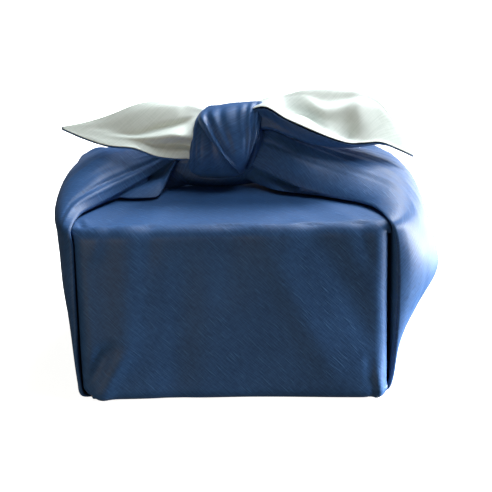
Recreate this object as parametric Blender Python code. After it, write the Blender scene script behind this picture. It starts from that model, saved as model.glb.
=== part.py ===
"""Furoshiki wrap on a box: a square double cloth folded round a plain gift box and tied on top.

Metres, +Z up. The origin is the middle of the flat underside. The front is -Y.
The cloth is one solid: a front-and-back band, two side flaps with their tucked gussets, the knot
and the two tails. The pale lining, which shows in the tails alone, is a solid of its own on each.
"""
import math
from collections import namedtuple

import bmesh
import bpy
from mathutils import Vector

MM = 0.001

# Driving sizes
BUNDLE_WIDTH = 220 * MM
BUNDLE_DEPTH = 200 * MM
BUNDLE_HEIGHT = 134 * MM
BAND_THICK = 2.0 * MM      # face cloth and lining together, where they lie flat on the box
FLAP_THICK = 1.5 * MM
TAIL_THICK = 1.2 * MM
LINING_THICK = 1.0 * MM
SEAT_GAP = 0.3 * MM        # between pieces that touch
EDGE_RADIUS = 5 * MM       # of the cloth's middle over the box's edges
LAYER_GAP = 0.6 * MM       # between the two layers on the lid
CORNER_WRAP = 13 * MM      # how far the front and back turn onto the sides
CORNER_LEAST = 1.5 * MM      # the same at the top and foot of a corner
CORNER_TAPER = 22 * MM     # height over which it grows from one to the other
CORNER_STEPS = 3
BACK_LAYER_REACH = 45 * MM  # the back corner's end, this far short of the front edge
TOP_LAYER_SHORT = 13 * MM  # the front corner's end, this far short of the back edge
BOX_SIDE_GAP = 2.2 * MM
BOX_LID_GAP = 0.9 * MM
BOX_EDGE = 4 * MM

BLUE = (0.030, 0.075, 0.180)
PALE = (0.640, 0.700, 0.650)
CARD = (0.420, 0.330, 0.230)

# Side flaps, from the foot up the side and over the lid to the knot. The edge is the fold that shows
# at the front and, mirrored, at the back. The crest is the middle of the bulge between the two.
# "full" is how square the bulge is, "lobe" is how far its back corner stands out again, and "tuck" is
# how far each fold turns back as a gusset that lies close on the box, as a share of the flap's width.
FlapRow = namedtuple("FlapRow", "edge_x edge_y edge_z crest_x crest_y crest_z full lobe tuck")

RIGHT_FLAP = [
    FlapRow(98, 88, 1.0, 98, 0, 1.0, 2.0, 0, 0),
    FlapRow(106, 90, 1.0, 106, 0, 1.0, 2.0, 0, 0),
    FlapRow(112, 94, 5, 112.5, -14, 5, 2.2, 0, 0),
    FlapRow(115, 95, 16, 118.5, -18, 16, 3.0, 0, 0.28),
    FlapRow(117, 95.5, 36, 130, -22, 38, 2.7, 0, 0.40),
    FlapRow(118, 95.5, 58, 144.5, -22, 60, 2.5, 0, 0.40),
    FlapRow(118, 95.5, 80, 149.5, -20, 80, 2.4, 0, 0.40),
    FlapRow(117.5, 95.5, 102, 145.5, -18, 100, 2.4, 0, 0.40),
    FlapRow(116, 96, 121, 140, -10, 119, 2.4, 0, 0.40),
    FlapRow(112, 97, 134, 134.5, 0, 134, 2.3, 0, 0.38),
    FlapRow(105, 83, 139.5, 122, 2, 146, 2.2, 0, 0.34),
    FlapRow(93, 69, 140.5, 106, 3, 154, 2.0, 0, 0.30),
    FlapRow(72, 55, 141, 80, 3, 158, 2.0, 0, 0.26),
    FlapRow(49, 38, 142.8, 54, 2, 166, 2.0, 0, 0.20),
    FlapRow(28, 21, 147.5, 31, 2, 174, 2.0, 0, 0),
    FlapRow(11, 8, 152, 14, 1, 170, 2.0, 0, 0),
]
LEFT_FLAP = [
    FlapRow(98, 88, 1.0, 98, 0, 1.0, 2.0, 0, 0),
    FlapRow(106, 90, 1.0, 106, 0, 1.0, 2.0, 0, 0),
    FlapRow(111.8, 94, 5, 113, -20, 5, 2.0, 0, 0),
    FlapRow(112.6, 95, 16, 118, -24, 16, 2.3, 0, 0.28),
    FlapRow(113.4, 95.5, 38, 122.5, -22, 38, 2.6, 0, 0.40),
    FlapRow(114.2, 95.5, 60, 125, -20, 60, 2.6, 0, 0.40),
    FlapRow(114.6, 95.5, 82, 126.5, -20, 84, 2.6, 0, 0.40),
    FlapRow(114.6, 95.5, 104, 127.5, -16, 106, 2.6, 1, 0.40),
    FlapRow(114, 96, 121, 126.5, -12, 125, 2.5, 2, 0.40),
    FlapRow(112, 97, 133, 122.5, -6, 140, 2.4, 3.5, 0.38),
    FlapRow(106, 86, 140, 110, 0, 148, 2.2, 3, 0.34),
    FlapRow(94, 71, 142.7, 95, 2, 154, 2.1, 1, 0.30),
    FlapRow(76, 48, 145.3, 77, 3, 158, 2.0, 0, 0.26),
    FlapRow(56, 27, 150, 57, 3, 162, 2.0, 0, 0.20),
    FlapRow(38, 10, 155.5, 39, 2, 166, 2.0, 0, 0),
    FlapRow(20, 8, 157, 21, 1, 168, 2.0, 0, 0),
]
FLAP_ALONG = 2             # steps between two rows
FLAP_ACROSS = 10
FLAP_SKEW = 0.85           # below 1, the bulge leans to the front
LOBE_AT = 0.88             # share of the flap's width
LOBE_SPREAD = 0.09
TUCK_ACROSS = 3
FOLD_ROOT = 0.25           # share of the flap's first step at which a gusset or pleat leaves it
TUCK_CLEAR = 1.7 * MM

# A pleat hangs under each flap's front fold, beside the knot: its lower edge, at each of the flap's
# last rows.
PLEAT_ROWS = slice(-5, None)
RIGHT_PLEAT = [(93, -68, 139.5), (72, -55, 139.5), (50, -38.5, 138.3), (26, -22, 138.3), (8, -4, 142)]
LEFT_PLEAT = [(-94, -68, 140.5), (-80, -41, 137.6), (-55, -35, 137.6), (-42, -16, 146), (-22, -8, 151)]
PLEAT_ALONG = 2

# The tails, from inside the knot to the tip. Each row is a section of five points, from the front hem
# over the trough and the wall behind it to the crest and the back hem.
TailRow = namedtuple("TailRow", "front_hem trough wall crest back_hem")

RIGHT_TAIL = [
    TailRow((8, -8, 179), (8, -9, 168), (8, 0, 170), (8, 7, 182), (8, 12, 177)),
    TailRow((27, -17, 195), (27, -20, 179), (27, -7, 180), (28, 4, 195), (28, 11, 187)),
    TailRow((43, -25, 188.5), (43, -22.5, 174.5), (43, -5, 179), (42, 9, 198.5), (44, 20, 188)),
    TailRow((64, -28, 179), (64, -24, 168.5), (66, -4, 179), (68, 13, 202), (68, 28, 190)),
    TailRow((88, -26, 170.5), (88, -21.5, 166), (91, -3, 179), (95, 13, 198), (94, 28, 186)),
    TailRow((111, -15, 167.8), (111, -11, 166.4), (112, 0, 173), (113, 9, 186), (112, 20, 178)),
    TailRow((125.5, -8, 160), (125.5, -6, 159.6), (125.5, -2, 162), (125.5, 3, 167.5), (125, 9, 164.5)),
    TailRow((137, -4, 152.4), (137.4, -3, 152.3), (137.6, -2, 152.5), (137.4, -1, 153), (137, 0, 153)),
]
LEFT_TAIL = [
    TailRow((-9, -6, 163), (-9, -9, 170), (-9, -4, 178), (-9, 1, 183), (-9, 6, 186)),
    TailRow((-29, -16, 158.5), (-29, -17, 168), (-29, -7.5, 183), (-29, 1, 188), (-29, 10, 192)),
    TailRow((-48, -21, 161), (-48, -15, 171), (-48, -8.5, 181), (-48, 3, 188), (-48, 10, 194.5)),
    TailRow((-70, -23, 168.5), (-70, -15, 171.5), (-69, -10.5, 176), (-68, 0.5, 183.5), (-67, 9, 193)),
    TailRow((-92, -17, 169.6), (-92, -11, 171.5), (-91, -6.5, 175), (-90, -0.5, 180), (-89, 7, 187)),
    TailRow((-111, -6, 173.7), (-110.5, -4, 175), (-110, -2, 177), (-109, 0, 179.3), (-108, 4, 182)),
    TailRow((-125, -0.5, 178.4), (-125.4, 0, 178.8), (-125.5, 0.5, 179.2), (-125.4, 1, 179.6),
            (-125, 1.5, 180)),
]
TAIL_ALONG = 2
TAIL_ACROSS = 2
LINING_INSET = 1.0 * MM
LINING_APART = 1.0 * MM     # from the tail, so that it stays clear where the tail curves
LINING_ROWS = slice(2, -1)  # of the tail's rows: from just outside the knot to just short of the tip

# The knot: each strand is a flat band round the knot's middle, given by places along it, from one
# buried end to the other, with half its width and half its thickness there.
StrandRow = namedtuple("StrandRow", "x y z wide thick")

KNOT_MIDDLE = (-1, 0, 168)
KNOT_CORE = (19, 15, 24)   # half sizes
KNOT_STRANDS = {
    "front": [
        StrandRow(10, 12, 184, 11, 5),
        StrandRow(5, 4, 190, 19, 6),
        StrandRow(1, -9, 188.5, 22, 8),
        StrandRow(-1, -18, 180, 21, 8),
        StrandRow(0, -18.5, 167, 15, 8),
        StrandRow(3, -14, 154, 8, 6),
        StrandRow(3, -8, 147, 5, 4),
    ],
    "left": [
        StrandRow(-12, 5, 186, 7, 6),
        StrandRow(-17, -5, 179, 10, 7),
        StrandRow(-19, -9, 166, 13, 8),
        StrandRow(-17, -9, 152, 13, 8),
        StrandRow(-5, -7, 145, 9, 5),
    ],
    "right": [
        StrandRow(10, 8, 188, 7, 6),
        StrandRow(16, -3, 184, 10, 7),
        StrandRow(14, -9, 172, 11, 8),
        StrandRow(8, -9, 158, 10, 7),
        StrandRow(2, -5, 149, 7, 5),
    ],
    "back": [
        StrandRow(-6, 2, 190, 16, 6),
        StrandRow(-4, 13, 184, 19, 8),
        StrandRow(-3, 18, 170, 18, 8),
        StrandRow(-4, 14, 156, 12, 7),
        StrandRow(-4, 6, 148, 7, 5),
    ],
}
STRAND_ALONG = 2
STRAND_ROUND = 12
CORE_ROUND = 14
CORE_RINGS = 8


def clear_scene():
    for obj in list(bpy.data.objects):
        bpy.data.objects.remove(obj, do_unlink=True)


def material(name, colour, roughness):
    made = bpy.data.materials.new(name)
    made.use_nodes = True
    shader = made.node_tree.nodes["Principled BSDF"]
    shader.inputs["Base Color"].default_value = (*colour, 1.0)
    shader.inputs["Roughness"].default_value = roughness
    return made


def lerp(a, b, share):
    return a + (b - a) * share


def smooth_step(share):
    held = min(1.0, max(0.0, share))
    return held * held * (3 - 2 * held)


def spline(points, steps):
    """A smooth curve through the points, with that many steps between each two."""
    out = []
    for i in range(len(points) - 1):
        before = points[max(i - 1, 0)]
        start = points[i]
        end = points[i + 1]
        after = points[min(i + 2, len(points) - 1)]
        for k in range(steps):
            t = k / steps
            pull = (end - before) * 0.5
            leave = (after - start) * 0.5
            out.append(start * (2 * t**3 - 3 * t**2 + 1) + pull * (t**3 - 2 * t**2 + t)
                       + end * (3 * t**2 - 2 * t**3) + leave * (t**3 - t**2))
    out.append(points[-1])
    return out


def lofted(sections, steps):
    """Rows of points that pass smoothly through the sections."""
    columns = [spline([section[i] for section in sections], steps) for i in range(len(sections[0]))]
    return [list(row) for row in zip(*columns)]


def sheet(name, rows, thick, blue, offset=0.0):
    """A cloth object on a grid of points, thickened by a Solidify modifier."""
    mesh = bpy.data.meshes.new(name)
    across = len(rows[0])
    points = [p for row in rows for p in row]
    faces = [
        (i * across + j, i * across + j + 1, (i + 1) * across + j + 1, (i + 1) * across + j)
        for i in range(len(rows) - 1)
        for j in range(across - 1)
    ]
    mesh.from_pydata(points, [], faces)
    mesh.shade_smooth()
    mesh.materials.append(blue)
    obj = bpy.data.objects.new(name, mesh)
    bpy.context.scene.collection.objects.link(obj)
    solid = obj.modifiers.new("cloth thickness", "SOLIDIFY")
    solid.thickness = thick
    solid.offset = offset
    solid.use_even_offset = False
    return obj


def helper(obj):
    obj.hide_render = True
    obj.display_type = "WIRE"
    return obj


# Band over the front, the lid and the back

def arc(middle, radius, start_degrees, turn_degrees, steps):
    """Points and outward directions of a rounded edge, in the Y-Z plane."""
    out = []
    for k in range(steps + 1):
        angle = math.radians(start_degrees + turn_degrees * k / steps)
        way = (math.cos(angle), math.sin(angle))
        out.append((middle[0] + radius * way[0], middle[1] + radius * way[1], *way))
    return out


def straight(start, end, way, steps):
    """Points between two ends, without them, that face one way."""
    return [
        (lerp(start[0], end[0], k / steps), lerp(start[1], end[1], k / steps), *way)
        for k in range(1, steps)
    ]


def band_path():
    """The band's course in the Y-Z plane: y, z and the way that it faces.

    It starts as the under layer on the lid, goes down the back, under the box and up the front,
    and ends as the top layer on the lid.
    """
    deep = BUNDLE_DEPTH / 2 - BAND_THICK / 2
    floor = BAND_THICK / 2
    lid = BUNDLE_HEIGHT - BAND_THICK / 2
    under = lid - BAND_THICK - LAYER_GAP
    r = EDGE_RADIUS
    start = (-deep + BACK_LAYER_REACH, under)
    back_top = (deep - r, under - r)
    back_foot = (deep - r, floor + r)
    front_foot = (-deep + r, floor + r)
    front_top = (-deep + r, lid - r)
    end = (deep - TOP_LAYER_SHORT, lid)
    path = [(*start, 0.0, 1.0)]
    path += straight(start, (deep - r, under), (0.0, 1.0), 2)
    path += arc(back_top, r, 90, -90, 3)
    path += straight((deep, under - r), (deep, floor + r), (1.0, 0.0), 5)
    path += arc(back_foot, r, 0, -90, 3)
    path += straight((deep - r, floor), (-deep + r, floor), (0.0, -1.0), 2)
    path += arc(front_foot, r, 270, -90, 3)
    path += straight((-deep, floor + r), (-deep, lid - r), (-1.0, 0.0), 5)
    path += arc(front_top, r, 180, -90, 3)
    path += straight((-deep + r, lid), end, (0.0, 1.0), 2)
    path += [(*end, 0.0, 1.0)]
    return path


def band_rows():
    """The band's grid. Its side edges turn onto the box's sides where it goes up the front and back."""
    wide = BUNDLE_WIDTH / 2 - BAND_THICK / 2
    r = EDGE_RADIUS
    flat = wide - r
    rows = []
    for y, z, face_y, face_z in band_path():
        upright = face_y**2
        from_ends = min(z, BUNDLE_HEIGHT - z) / CORNER_TAPER
        wrap = lerp(CORNER_LEAST, CORNER_WRAP, upright * smooth_step(from_ends))
        turn = max(upright, 0.001) * math.pi / 2
        length = lerp(r - CORNER_LEAST, r * math.pi / 2, upright)
        half = [(0.0, 0.0), (flat, 0.0)]
        for k in range(1, CORNER_STEPS + 1):
            angle = turn * k / CORNER_STEPS
            half.append((flat + length / turn * math.sin(angle), length / turn * (1 - math.cos(angle))))
        x, back = half[-1]
        half.append((x + wrap * math.cos(turn), back + wrap * math.sin(turn)))
        rows.append([
            Vector((sign * x, y - face_y * back, z - face_z * back))
            for sign, points in ((-1, half[:0:-1]), (1, half))
            for x, back in points
        ])
    return rows


# Side flaps and their tucked gussets

def bump(share, full):
    """0 at both edges of a flap and 1 near its middle."""
    return 1 - abs(2 * share**FLAP_SKEW - 1) ** full


def flap_point(row, share, side):
    """A point of a flap's section: share 0 is the front fold and 1 the back fold."""
    front = Vector((side * row.edge_x, -row.edge_y, row.edge_z)) * MM
    back = Vector((side * row.edge_x, row.edge_y, row.edge_z)) * MM
    crest = Vector((side * row.crest_x, row.crest_y, row.crest_z)) * MM
    outward = Vector((side, 0, 1 if row.edge_z > BUNDLE_HEIGHT / MM else 0.3)).normalized()
    lobe = row.lobe * MM * math.exp(-(((share - LOBE_AT) / LOBE_SPREAD) ** 2))
    return front.lerp(back, share) + (crest - (front + back) / 2) * bump(share, row.full) + outward * lobe


def fold_root(row, side, from_back):
    """The place in the flap's fold where a gusset or a pleat leaves it."""
    step = 1 / FLAP_ACROSS
    edge = flap_point(row, 1 if from_back else 0, side)
    return edge.lerp(flap_point(row, 1 - step if from_back else step, side), FOLD_ROOT)


def flap_rows(table, side):
    sections = [[flap_point(row, k / FLAP_ACROSS, side) for k in range(FLAP_ACROSS + 1)] for row in table]
    return lofted(sections, FLAP_ALONG)


def tuck_rows(table, side, from_back):
    """A gusset, which leaves the flap's fold, drops onto the box and runs along it."""
    sections = []
    for row in table:
        if not row.tuck:
            continue
        x = side * min(row.edge_x * MM, BUNDLE_WIDTH / 2 + TUCK_CLEAR)
        z = min(row.edge_z * MM, BUNDLE_HEIGHT + TUCK_CLEAR)
        section = [fold_root(row, side, from_back)]
        for k in range(1, TUCK_ACROSS + 1):
            y = -row.edge_y * MM * (1 - 2 * row.tuck * (k / TUCK_ACROSS) ** 1.3)
            section.append(Vector((x, -y if from_back else y, z)))
        sections.append(section)
    return lofted(sections, FLAP_ALONG)


def pleat_rows(table, lows, side):
    sections = []
    for row, low in zip(table[PLEAT_ROWS], lows):
        top = fold_root(row, side, False)
        low = Vector(low) * MM
        sections.append([top, (top + low) / 2, low])
    return lofted(sections, PLEAT_ALONG)


# Tails

def tail_sections(table):
    across = []
    for row in table:
        points = [Vector(p) * MM for p in row]
        across.append(spline(points, TAIL_ACROSS))
    return across


def grid_normals(rows):
    """The unit normal at each point of a grid."""
    out = []
    for i, row in enumerate(rows):
        line = []
        for j in range(len(row)):
            along = rows[min(i + 1, len(rows) - 1)][j] - rows[max(i - 1, 0)][j]
            across = row[min(j + 1, len(row) - 1)] - row[max(j - 1, 0)]
            line.append(along.cross(across).normalized())
        out.append(line)
    return out


def lining_rows(rows, facing):
    """A second sheet on the tail's inner face, a little apart and set in from its hems."""
    normals = grid_normals(rows)
    apart = TAIL_THICK / 2 + LINING_APART + LINING_THICK / 2
    out = []
    for row, ways in zip(rows, normals):
        line = [p + way * (apart * facing) for p, way in zip(row, ways)]
        for hem, inner in ((0, 1), (-1, -2)):
            step = line[inner] - line[hem]
            line[hem] = line[hem] + step.normalized() * min(LINING_INSET, step.length * 0.3)
        out.append(line)
    return out


# Knot

def closed_tube(name, rings, blue):
    """A closed solid through rings of points, with flat ends."""
    mesh = bpy.data.meshes.new(name)
    count = len(rings[0])
    faces = [tuple(reversed(range(count)))]
    for i in range(len(rings) - 1):
        for j in range(count):
            step = (j + 1) % count
            faces.append((i * count + j, i * count + step, (i + 1) * count + step, (i + 1) * count + j))
    last = (len(rings) - 1) * count
    faces.append(tuple(range(last, last + count)))
    mesh.from_pydata([p for ring in rings for p in ring], [], faces)
    shape = bmesh.new()
    shape.from_mesh(mesh)
    bmesh.ops.recalc_face_normals(shape, faces=shape.faces[:])
    shape.to_mesh(mesh)
    shape.free()
    mesh.shade_smooth()
    mesh.materials.append(blue)
    obj = bpy.data.objects.new(name, mesh)
    bpy.context.scene.collection.objects.link(obj)
    return obj


def strand_object(name, table, blue):
    """One flat band of the knot, which lies round the knot's middle."""
    middle = Vector(KNOT_MIDDLE) * MM
    places = spline([Vector(row[:3]) * MM for row in table], STRAND_ALONG)
    sizes = spline([Vector((row.wide, row.thick, 0)) * MM for row in table], STRAND_ALONG)
    rings = []
    for i, (place, size) in enumerate(zip(places, sizes)):
        along = (places[min(i + 1, len(places) - 1)] - places[max(i - 1, 0)]).normalized()
        outward = place - middle
        across = along.cross(outward).normalized()
        outward = across.cross(along).normalized()
        ring = []
        for k in range(STRAND_ROUND):
            angle = math.tau * k / STRAND_ROUND
            ring.append(place + across * (size.x * math.cos(angle)) + outward * (size.y * math.sin(angle)))
        rings.append(ring)
    return closed_tube(name, rings, blue)


def core_object(name, blue):
    """The knot's filled middle."""
    shape = bmesh.new()
    bmesh.ops.create_uvsphere(shape, u_segments=CORE_ROUND, v_segments=CORE_RINGS, radius=1.0)
    for v in shape.verts:
        v.co = Vector([(m + c * h) * MM for m, c, h in zip(KNOT_MIDDLE, v.co, KNOT_CORE)])
    mesh = bpy.data.meshes.new(name)
    shape.to_mesh(mesh)
    shape.free()
    mesh.shade_smooth()
    mesh.materials.append(blue)
    obj = bpy.data.objects.new(name, mesh)
    bpy.context.scene.collection.objects.link(obj)
    return obj


def knot_objects(blue):
    solids = [core_object("knot_core", blue)]
    solids += [strand_object(f"knot_{name}", rows, blue) for name, rows in KNOT_STRANDS.items()]
    return solids


# Box

def box_object(card):
    """The plain box that the cloth is folded round, with softened edges."""
    low = Vector((
        -BUNDLE_WIDTH / 2 + BAND_THICK + BOX_SIDE_GAP,
        -BUNDLE_DEPTH / 2 + BAND_THICK + BOX_SIDE_GAP,
        BAND_THICK + SEAT_GAP,
    ))
    lid = BUNDLE_HEIGHT - 2 * BAND_THICK - LAYER_GAP - BOX_LID_GAP
    high = Vector((-low.x, -low.y, lid))
    shape = bmesh.new()
    bmesh.ops.create_cube(shape, size=1.0)
    for v in shape.verts:
        v.co = (low + high) / 2 + v.co * (high - low)
    mesh = bpy.data.meshes.new("gift box")
    shape.to_mesh(mesh)
    shape.free()
    mesh.materials.append(card)
    obj = bpy.data.objects.new("gift_box", mesh)
    bpy.context.scene.collection.objects.link(obj)
    edge = obj.modifiers.new("soft edges", "BEVEL")
    edge.width = BOX_EDGE
    edge.segments = 2
    return obj


def unite(target, parts):
    """Joins helper solids to the target with Boolean modifiers."""
    for part in parts:
        join = target.modifiers.new("with " + part.name, "BOOLEAN")
        join.operation = "UNION"
        join.solver = "EXACT"
        join.object = helper(part)


def main():
    clear_scene()
    blue = material("blue face cloth", BLUE, 0.5)
    pale = material("pale lining", PALE, 0.6)
    card = material("card box", CARD, 0.8)

    cloth = sheet("wrap_cloth", band_rows(), BAND_THICK, blue)
    parts = []
    for name, table, pleat, side in (
        ("right", RIGHT_FLAP, RIGHT_PLEAT, 1),
        ("left", LEFT_FLAP, LEFT_PLEAT, -1),
    ):
        parts.append(sheet(f"flap_{name}", flap_rows(table, side), FLAP_THICK, blue))
        for place, from_back in (("front", False), ("back", True)):
            rows = tuck_rows(table, side, from_back)
            parts.append(sheet(f"tuck_{name}_{place}", rows, TAIL_THICK, blue))
        parts.append(sheet(f"pleat_{name}", pleat_rows(table, pleat, side), TAIL_THICK, blue))
    for name, table, facing in (("right", RIGHT_TAIL, 1), ("left", LEFT_TAIL, -1)):
        rows = lofted(tail_sections(table), TAIL_ALONG)
        parts.append(sheet(f"tail_{name}", rows, TAIL_THICK, blue))
        inner = lining_rows(rows, facing)[LINING_ROWS]
        sheet(f"lining_{name}_tail", inner, LINING_THICK, pale)
    parts += knot_objects(blue)
    unite(cloth, parts)
    box_object(card)


main()
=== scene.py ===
import math
from collections import namedtuple

import bpy
from mathutils import Matrix, Vector


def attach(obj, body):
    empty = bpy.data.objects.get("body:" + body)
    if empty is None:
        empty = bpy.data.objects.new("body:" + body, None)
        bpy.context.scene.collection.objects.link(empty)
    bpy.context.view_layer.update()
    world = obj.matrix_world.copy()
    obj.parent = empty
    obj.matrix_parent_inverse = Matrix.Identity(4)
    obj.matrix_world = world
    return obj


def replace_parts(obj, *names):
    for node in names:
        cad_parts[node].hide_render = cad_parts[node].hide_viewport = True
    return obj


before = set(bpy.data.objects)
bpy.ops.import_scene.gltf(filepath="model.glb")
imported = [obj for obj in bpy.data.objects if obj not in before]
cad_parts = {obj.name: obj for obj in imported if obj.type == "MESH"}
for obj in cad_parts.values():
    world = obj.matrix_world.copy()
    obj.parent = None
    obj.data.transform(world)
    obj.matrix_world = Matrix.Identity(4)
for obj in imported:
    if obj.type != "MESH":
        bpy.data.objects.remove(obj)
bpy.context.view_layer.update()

mm = 0.001

# Shared small tools


def say(text):
    print("furoshiki wrap:", text)


def lerp(a, b, share):
    return a + (b - a) * share


def smoothStep(share):
    held = min(1.0, max(0.0, share))
    return held * held * (3 - 2 * held)


def deselectAll():
    if bpy.context.object and bpy.context.object.mode != "OBJECT":
        bpy.ops.object.mode_set(mode="OBJECT")
    bpy.ops.object.select_all(action="DESELECT")


def spline(points, steps):
    # a smooth curve through the points, with that many steps between each two
    out = []
    for i in range(len(points) - 1):
        before, start = points[max(i - 1, 0)], points[i]
        end, after = points[i + 1], points[min(i + 2, len(points) - 1)]
        pull, leave = (end - before) * 0.5, (after - start) * 0.5
        for k in range(steps):
            t = k / steps
            out.append(start * (2 * t**3 - 3 * t**2 + 1) + pull * (t**3 - 2 * t**2 + t)
                       + end * (3 * t**2 - 2 * t**3) + leave * (t**3 - t**2))
    out.append(points[-1])
    return out


def lofted(sections, steps):
    columns = [spline([section[i] for section in sections], steps) for i in range(len(sections[0]))]
    return [list(row) for row in zip(*columns)]


def gridNormals(rows):
    out = []
    for i, row in enumerate(rows):
        line = []
        for j in range(len(row)):
            along = rows[min(i + 1, len(rows) - 1)][j] - rows[max(i - 1, 0)][j]
            across = row[min(j + 1, len(row) - 1)] - row[max(j - 1, 0)]
            line.append(along.cross(across).normalized())
        out.append(line)
    return out


def flatRows(rows, startAlong, sign):
    # each point's place on the flat cloth: the length run along the middle and across its own row
    middle = len(rows[0]) // 2
    alongs, total = [], 0.0
    for i, row in enumerate(rows):
        if i:
            total += (row[middle] - rows[i - 1][middle]).length
        alongs.append(total)
    out = []
    for row, along in zip(rows, alongs):
        acrosses = [0.0]
        for j in range(1, len(row)):
            acrosses.append(acrosses[-1] + (row[j] - row[j - 1]).length)
        centre = acrosses[middle]
        out.append([(sign * (startAlong + along), across - centre) for across in acrosses])
    return out


# A soft fold that runs along a piece: where it starts and ends along it, its place across at both
# ends, its half width and its height in mm, and how far it bows between the ends.
Fold = namedtuple("Fold", "start end fromAcross toAcross wide high bow", defaults=(0,))
# a fold counts over this many half widths, and fades in over this share of its length
foldShape = {"reach": 3, "fade": 0.28}


def foldHeight(folds, along, across, span):
    # span is how many mm one unit of "across" is worth at that place
    total = 0.0
    for fold in folds:
        t = (along - fold.start) / (fold.end - fold.start)
        if not 0 < t < 1:
            continue
        centre = lerp(fold.fromAcross, fold.toAcross, t) + fold.bow * 4 * t * (1 - t)
        away = abs(across - centre) * span / fold.wide
        if away < foldShape["reach"]:
            fade = smoothStep(min(t, 1 - t) / foldShape["fade"])
            total += fold.high * mm * math.exp(-away * away) * fade
    return total


def gridPiece(name, rows, flat):
    # a grid primitive whose points are laid on the rows, with the flat cloth's metres as its UV map
    deselectAll()
    along, across = len(rows), len(rows[0])
    bpy.ops.mesh.primitive_grid_add(
        x_subdivisions=across - 1, y_subdivisions=along - 1, size=1.0, calc_uvs=True)
    piece = bpy.context.object
    piece.name = piece.data.name = name
    mesh = piece.data
    for vertex in mesh.vertices:
        vertex.co = rows[vertex.index // across][vertex.index % across]
    uvs = mesh.uv_layers.active.data
    for loop in mesh.loops:
        uvs[loop.index].uv = flat[loop.vertex_index // across][loop.vertex_index % across]
    return piece


def dress(piece, slotName):
    # smooth, in its cloth, and carried by the bundle's one body
    bpy.ops.object.shade_smooth()
    piece.data.materials.clear()
    piece.data.materials.append(cloths[slotName])
    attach(piece, "root")
    return piece


def finishSheet(piece, thickness, slotName):
    thicken = piece.modifiers.new("cloth thickness", "SOLIDIFY")
    thicken.thickness = thickness
    thicken.offset = 0.0
    thicken.use_even_offset = False
    bpy.context.view_layer.objects.active = piece
    piece.select_set(True)
    bpy.ops.object.modifier_apply(modifier=thicken.name)
    return dress(piece, slotName)


def declareSheet(piece):
    # prints the sheet's cloth area, half that of its thickened faces, and its triangle count; a piece's flat
    # is its size laid out and, where it isn't a full rectangle, its area
    laid = sum(face.area for face in piece.data.polygons) / 2
    say(f"{piece.name}: {laid:.4f} m2 of cloth, {len(piece.data.polygons) * 2} triangles")


def tubePiece(name, rings, flat, slotName):
    # a closed body: a grid whose last column meets its first, welded, with both ends filled
    piece = gridPiece(name, [ring + ring[:1] for ring in rings], flat)
    bpy.ops.object.mode_set(mode="EDIT")
    bpy.ops.mesh.select_all(action="SELECT")
    bpy.ops.mesh.remove_doubles(threshold=1e-7)
    bpy.ops.mesh.select_mode(type="EDGE")
    bpy.ops.mesh.select_all(action="DESELECT")
    bpy.ops.mesh.select_non_manifold()
    bpy.ops.mesh.fill()
    bpy.ops.mesh.select_all(action="SELECT")
    bpy.ops.mesh.normals_make_consistent(inside=False)
    bpy.ops.object.mode_set(mode="OBJECT")
    return dress(piece, slotName)


# Materials


def hexToLinear(text):
    channels = [int(text[i:i + 2], 16) / 255 for i in (1, 3, 5)]
    return [c / 12.92 if c <= 0.04045 else ((c + 0.055) / 1.055) ** 2.4 for c in channels] + [1.0]


def addNode(tree, kind, settings=None, links=None):
    node = tree.nodes.new(kind)
    for key, value in (settings or {}).items():
        if isinstance(key, int) or key in node.inputs:
            node.inputs[key].default_value = value
        else:
            setattr(node, key, value)
    for key, source in (links or {}).items():
        tree.links.new(source, node.inputs[key])
    return node


def newMaterial(name):
    made = bpy.data.materials.new(name)
    made.use_nodes = True
    return made, made.node_tree, made.node_tree.nodes["Principled BSDF"]


def rampColours(node, stops):
    elements = node.color_ramp.elements
    while len(elements) < len(stops):
        elements.new(0.5)
    for element, (place, colour) in zip(elements, stops):
        element.position = place
        element.color = colour


# Silk taffeta, woven with uneven slubbed weft threads: crisp, with a soft shine that the slubs break
# up. The threads themselves are about 0.2 mm, too fine to show, so they are drawn about 1 mm apart,
# which is what reads at this distance.
blueSilk = {
    "face": "#38649C", "deep": "#284D7C", "slub": "#4A78B0", "roughness": 0.50, "specular": 0.42,
    "sheenWeight": 0.10, "sheenRoughness": 0.35, "sheenTint": "#C8DAF4",
    "threadGap": 0.8 * mm, "threadRun": 8 * mm, "slubGap": 1.4 * mm, "slubRun": 14 * mm,
    "relief": 0.16 * mm, "cloudSize": 50 * mm,
}
paleSilk = {
    "face": "#E6F0E9", "deep": "#D6E2DA", "slub": "#EEF5F0", "roughness": 0.48, "specular": 0.45,
    "sheenWeight": 0.20, "sheenRoughness": 0.40, "sheenTint": "#FFFFFF",
    "threadGap": 1.0 * mm, "threadRun": 24 * mm, "slubGap": 3.0 * mm, "slubRun": 30 * mm,
    "relief": 0.10 * mm, "cloudSize": 45 * mm,
}
# How the patterns mix in both silks. The square is laid with its corners to the box's faces, so its
# threads run at 45 degrees to them.
weave = {
    "degrees": -45, "warpShare": 0.35, "cloudShare": 0.5, "toneLow": 0.72, "toneHigh": 1.12,
    "slubLow": 0.60, "slubHigh": 0.74, "slubTint": 0.35, "slubHeight": 0.8, "bump": 0.55,
    "glossLow": 0.3, "glossHigh": 0.7, "smoother": 0.05, "rougher": 0.07,
}


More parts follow.
